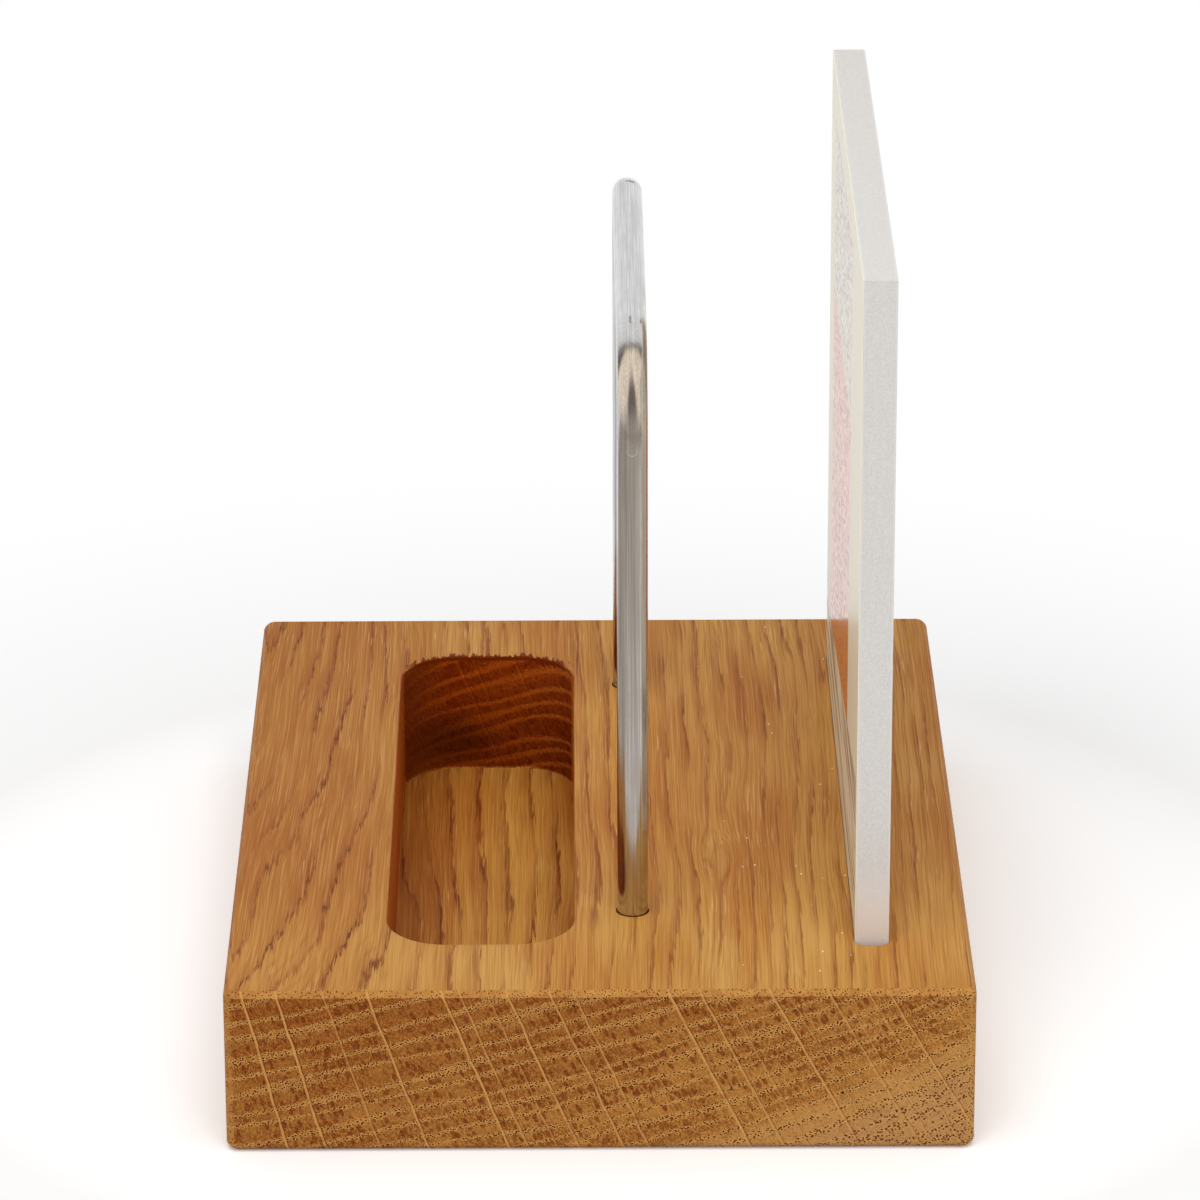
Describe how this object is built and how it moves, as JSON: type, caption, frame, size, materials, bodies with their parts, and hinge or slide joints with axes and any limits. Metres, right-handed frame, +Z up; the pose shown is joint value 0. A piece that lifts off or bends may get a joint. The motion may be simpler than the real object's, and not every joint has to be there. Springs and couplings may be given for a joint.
{
  "type": "wooden menu stand",
  "caption": "Oak table block with an open pocket, a bent wire loop that holds napkins, and a lift-out sign board standing in a slot.",
  "frame": {"origin": "centre of the block's underside, on the table", "axes": "+Z up; -Y is the front that the picture shows, where the block's end grain and the sign board's front edge face; +X to the right, with the pocket at -X and the sign board at +X"},
  "size_m": [0.12, 0.16, 0.1408],
  "materials": {
    "oak": "oiled, eased edges",
    "rod_steel": "drawn and lightly brushed",
    "white_foam_board": "sawn foam plastic, matt",
    "printed_film": "printed film, satin"
  },
  "bodies": {
    "base": {"oak_block": "oak", "wire_loop": "rod_steel"},
    "sign_board": {"board_core": "white_foam_board", "print_film": "printed_film"}
  },
  "joints": [
    {"name": "board_lift", "type": "slide", "parent": "base", "child": "sign_board", "axis": [0, 0, 1], "range_m": [0, 0.02]}
  ]
}
